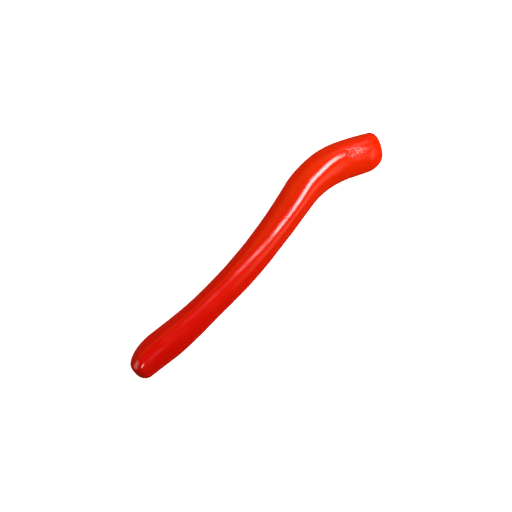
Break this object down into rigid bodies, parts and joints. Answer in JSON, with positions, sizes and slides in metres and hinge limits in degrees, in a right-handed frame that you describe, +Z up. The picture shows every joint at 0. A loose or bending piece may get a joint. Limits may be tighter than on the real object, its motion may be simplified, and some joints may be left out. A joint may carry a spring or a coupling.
{
  "type": "road flare",
  "caption": "Hand-held road flare with a soft S-bent glossy body, a pull-off cap over its igniter and a small lid over the striker.",
  "frame": {"origin": "middle of the surface it lies on, at the centre of its bounding box", "axes": "+X along its length towards the capped head, +Z up from the surface it lies on to the ridge, +Y to its left"},
  "size_m": [0.2706, 0.0506, 0.0281],
  "materials": {
    "skin_red": "gloss moulded red skin",
    "neck_red": "satin deep red moulding",
    "kraft_tube": "matte spiral-wound kraft paper",
    "wax_paper": "satin waxed paper",
    "plug_wood": "matte turned wood",
    "felt": "matte pressed felt",
    "charge": "matte pressed powder",
    "starter": "matte pressed powder",
    "button": "matte granular button",
    "card": "matte grey-brown card",
    "insert_plastic": "satin dark plastic",
    "seal_rubber": "satin black rubber",
    "striker": "matte abrasive",
    "liner_foam": "matte closed-cell foam"
  },
  "bodies": {
    "flare_body": {"body_skin": "skin_red", "body_tube": "kraft_tube", "wax_liner": "wax_paper", "butt_plug": "plug_wood", "butt_wad": "felt", "charge_slug_01": "charge", "charge_slug_02": "charge", "charge_slug_03": "charge", "charge_slug_04": "charge", "charge_slug_05": "charge", "charge_slug_06": "charge", "charge_slug_07": "charge", "charge_slug_08": "charge", "charge_slug_09": "charge", "charge_slug_10": "charge", "first_fire": "starter", "igniter_washer": "card", "ignition_button": "button", "neck_ferrule": "neck_red"},
    "seal": {"seal_ring": "seal_rubber"},
    "cap": {"cap_shell": "skin_red", "cap_socket": "insert_plastic", "striker_cup": "insert_plastic", "cushion_pad": "felt", "striker_card": "card", "striker_pad": "striker"},
    "lid": {"lid_shell": "skin_red", "lid_liner": "liner_foam"}
  },
  "joints": [
    {"name": "cap_twist", "type": "hinge", "parent": "flare_body", "child": "seal", "pos_m": [0.10327, 0.00457, 0.0133], "axis": [0.9265, -0.3762, 0], "continuous": true},
    {"name": "cap_pull", "type": "slide", "parent": "seal", "child": "cap", "axis": [0.9265, -0.3762, 0], "range_m": [0, 0.035]},
    {"name": "lid_pull", "type": "slide", "parent": "cap", "child": "lid", "axis": [0.9265, -0.3762, 0], "range_m": [0, 0.02]}
  ]
}
